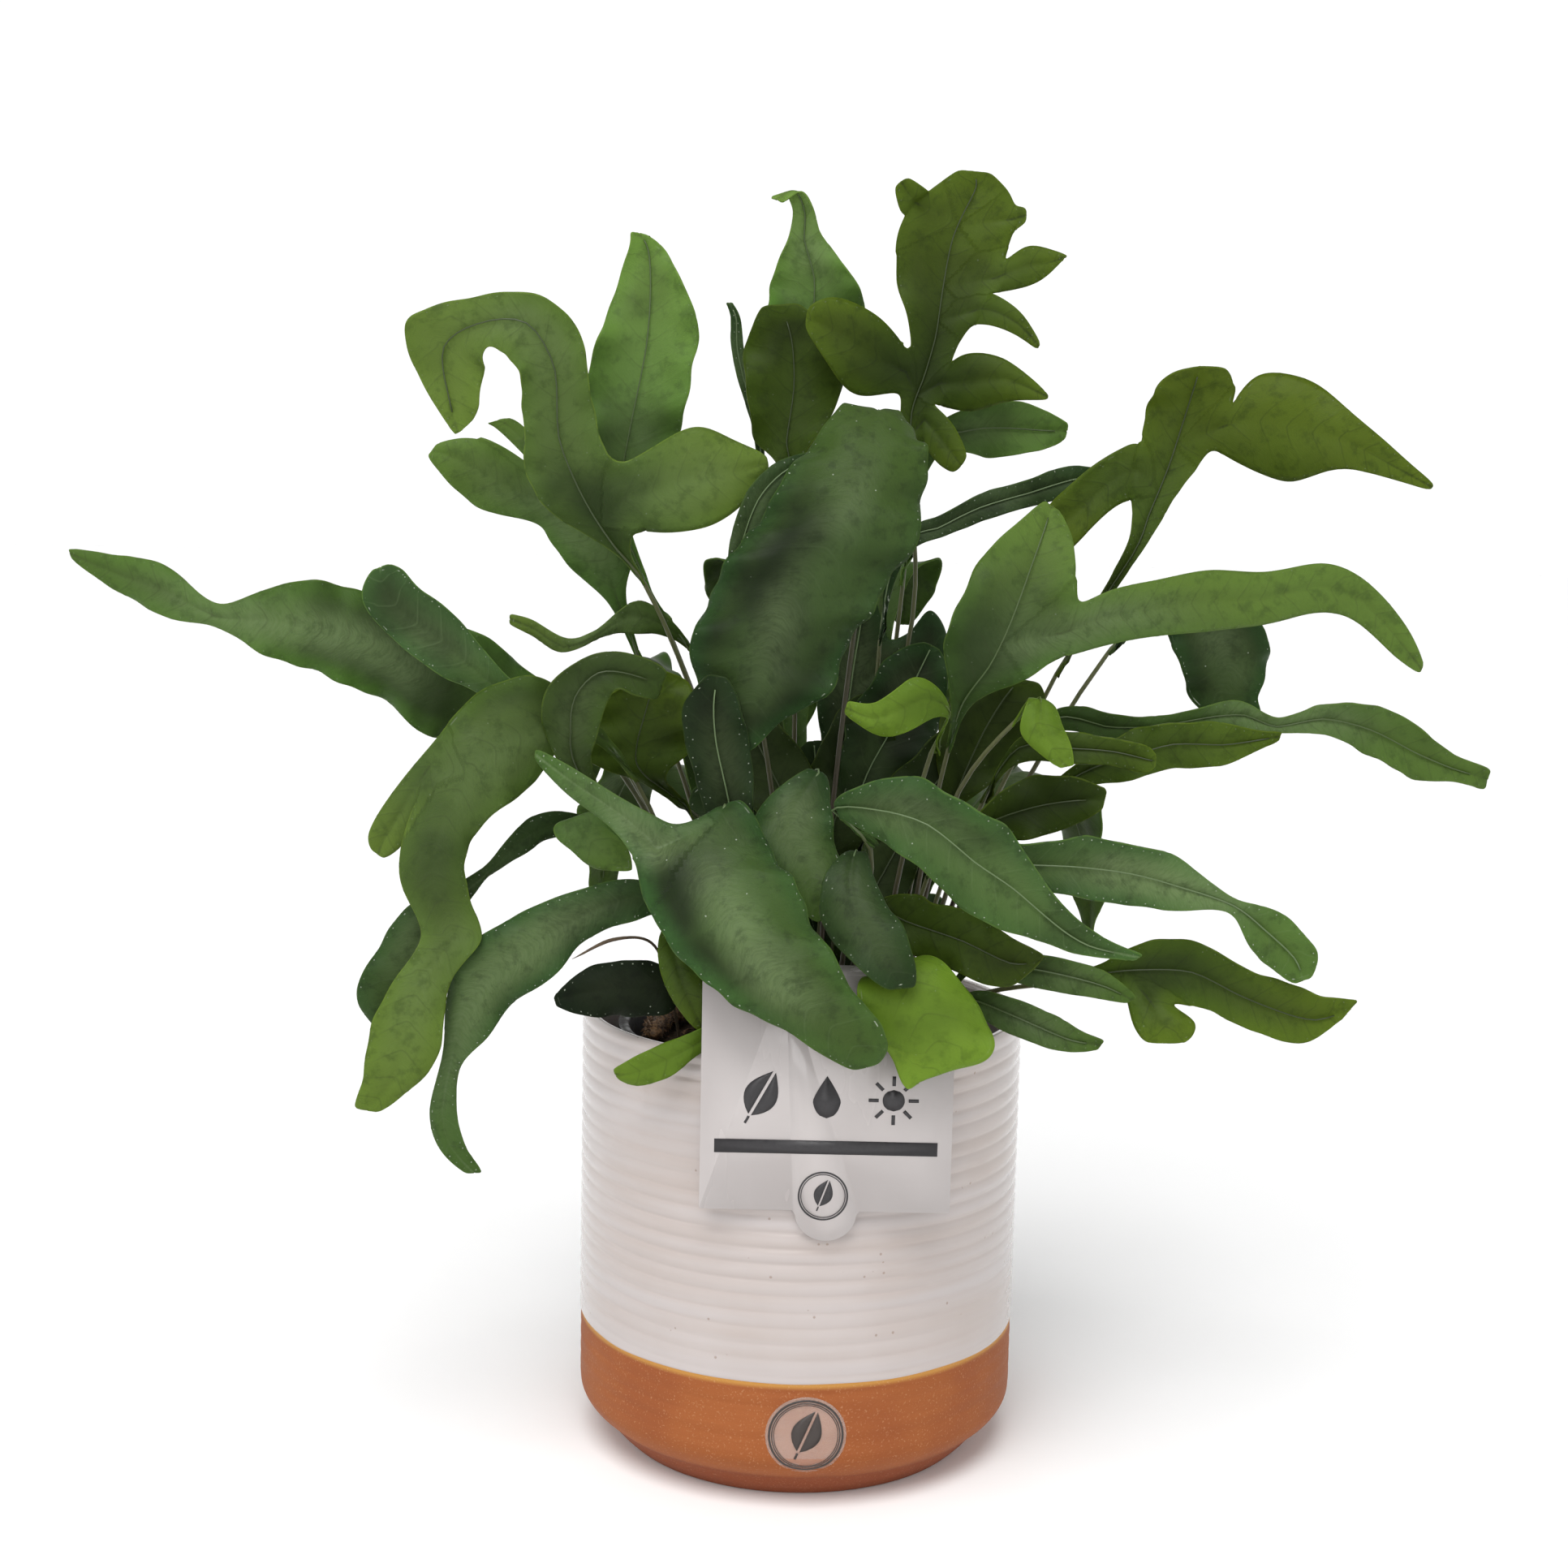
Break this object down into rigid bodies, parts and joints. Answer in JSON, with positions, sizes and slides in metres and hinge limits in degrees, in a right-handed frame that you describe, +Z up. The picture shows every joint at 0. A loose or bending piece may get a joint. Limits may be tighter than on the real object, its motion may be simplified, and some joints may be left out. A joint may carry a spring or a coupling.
{
  "type": "potted fern",
  "caption": "Bushy strap-leaved fern with glaucous wavy fronds in a nursery pot, standing in a ribbed half-glazed round ceramic cover pot with a plant label.",
  "frame": {"origin": "centre of the pot's flat foot, on the surface it stands on", "axes": "+Z up along the pot's axis; the plant's front and its label look along -Y; +X is to the right seen from the front"},
  "size_m": [0.4472, 0.2229, 0.4151],
  "materials": {
    "glazed_clay": "gloss",
    "nursery_plastic": "matte",
    "potting_mix": "matte",
    "label_plastic": "gloss",
    "clear_film": "gloss",
    "rhizome_scales": "matte",
    "dried_stem": "matte",
    "leaf_glaucous": "satin",
    "leaf_fresh": "satin",
    "leaf_olive": "satin",
    "leaf_lime": "satin",
    "leaf_dark": "satin"
  },
  "bodies": {
    "root": {"cover_pot": "glazed_clay", "nursery_pot": "nursery_plastic", "potting_soil": "potting_mix", "plant_label": "label_plastic", "round_sticker": "clear_film", "rhizome": "rhizome_scales", "dried_stem": "dried_stem", "frond_front_drape": "leaf_glaucous", "frond_front_star": "leaf_lime", "frond_front_dark": "leaf_dark", "frond_front_tongue": "leaf_glaucous", "frond_front_oblong": "leaf_dark", "frond_front_right": "leaf_glaucous", "frond_right_arching": "leaf_glaucous", "frond_right_wavy": "leaf_olive", "frond_right_low": "leaf_fresh", "frond_right_tongue": "leaf_fresh", "frond_right_skirt": "leaf_glaucous", "frond_left_rim": "leaf_dark", "frond_left_spur": "leaf_olive", "frond_left_lime": "leaf_lime", "frond_left_long": "leaf_glaucous", "frond_left_wavy": "leaf_olive", "frond_far_left": "leaf_glaucous", "frond_left_blue": "leaf_dark", "frond_left_grey": "leaf_glaucous", "frond_left_hook": "leaf_olive", "frond_left_fan": "leaf_olive", "frond_bird": "leaf_olive", "frond_upright_left": "leaf_fresh", "frond_left_high": "leaf_fresh", "frond_top": "leaf_olive", "frond_pale_right": "leaf_fresh", "frond_upright_dark": "leaf_olive", "frond_curled_pale": "leaf_fresh", "frond_sliver": "leaf_dark", "frond_ribbon": "leaf_dark", "frond_centre": "leaf_glaucous", "frond_deep_centre": "leaf_dark", "frond_deep_right": "leaf_dark", "frond_right_star": "leaf_fresh", "frond_bright_curl": "leaf_lime", "frond_kite": "leaf_lime", "frond_right_high": "leaf_olive", "frond_thin_dark": "leaf_dark", "frond_right_hanging": "leaf_glaucous", "frond_far_right": "leaf_fresh", "frond_right_olive": "leaf_olive", "frond_right_blunt": "leaf_olive", "frond_right_dark": "leaf_dark", "frond_left_pale": "leaf_fresh", "frond_left_curl": "leaf_fresh", "frond_back_1": "leaf_fresh", "frond_back_2": "leaf_fresh", "frond_back_3": "leaf_fresh", "frond_back_4": "leaf_fresh", "frond_back_5": "leaf_fresh", "frond_back_6": "leaf_fresh", "frond_back_7": "leaf_fresh", "frond_back_8": "leaf_fresh"}
  },
  "joints": []
}
